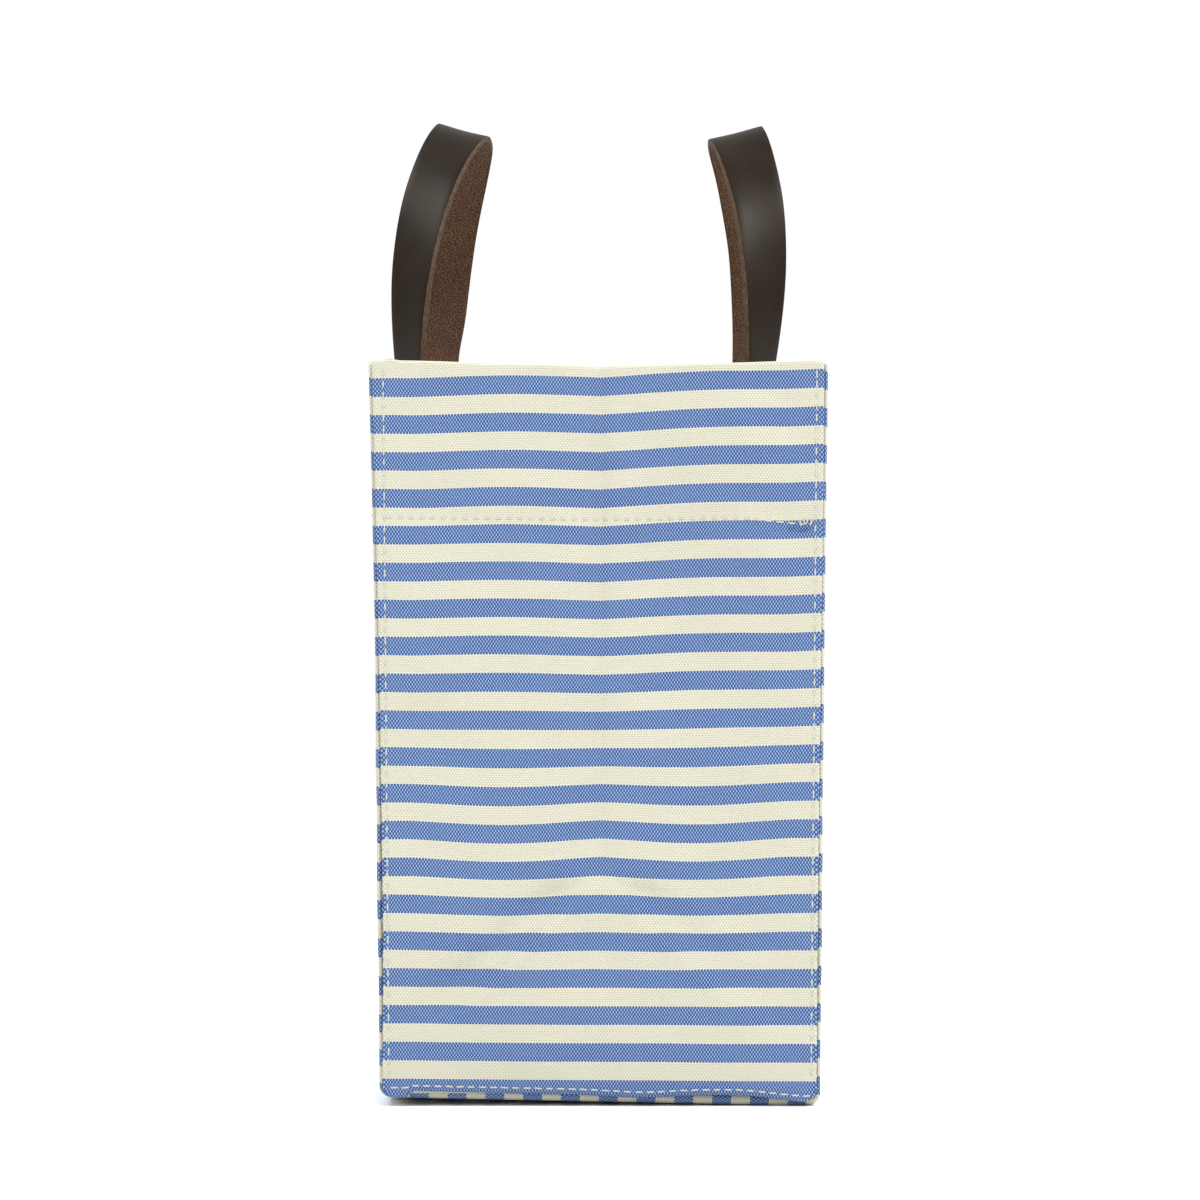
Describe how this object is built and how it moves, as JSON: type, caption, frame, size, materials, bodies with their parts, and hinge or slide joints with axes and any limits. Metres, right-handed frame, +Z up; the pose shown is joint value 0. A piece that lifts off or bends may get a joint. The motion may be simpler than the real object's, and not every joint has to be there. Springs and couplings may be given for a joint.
{
  "type": "mail sack",
  "caption": "Open-topped striped canvas sack with box gussets, a flat base and a pair of upright leather strap handles that flex at the mouth.",
  "frame": {"origin": "centre of the base's underside, on the surface that the sack stands on", "axes": "+Z up out of the mouth; Y along the wide faces, with the right-hand gusset at -Y; the front face looks along -X"},
  "size_m": [0.1513, 0.331, 0.3458],
  "materials": {
    "striped_canvas": "blue and cream striped cotton canvas, matt, visible weave",
    "canvas_facing": "the same striped canvas, turned down inside the mouth",
    "strap_leather": "dark brown smooth grain with a soft sheen, suede inner side, bare cut edges",
    "sewing_thread": "cream twisted sewing thread",
    "binding_tape": "cream cotton twill tape"
  },
  "bodies": {
    "bag": {"body_panel": "striped_canvas", "gusset_right": "striped_canvas", "gusset_left": "striped_canvas", "mouth_facing": "canvas_facing", "seam_binding_right": "binding_tape", "seam_binding_left": "binding_tape", "gusset_right_stitching": "sewing_thread", "gusset_left_stitching": "sewing_thread", "facing_stitching": "sewing_thread", "handle_front_tails": "strap_leather", "handle_back_tails": "strap_leather", "handle_front_stitching": "sewing_thread", "handle_back_stitching": "sewing_thread"},
    "handle_front": {"handle_front": "strap_leather"},
    "handle_back": {"handle_back": "strap_leather"}
  },
  "joints": [
    {"name": "handle_front_flex", "type": "hinge", "parent": "bag", "child": "handle_front", "pos_m": [-0.06315, 0, 0.246], "axis": [0.0797, 0.9968, 0], "range_deg": [-110, 20], "stiffness_Nm_per_rad": 0.15},
    {"name": "handle_back_flex", "type": "hinge", "parent": "bag", "child": "handle_back", "pos_m": [0.05615, 0, 0.246], "axis": [0, -1, 0], "range_deg": [-110, 20], "stiffness_Nm_per_rad": 0.15}
  ]
}
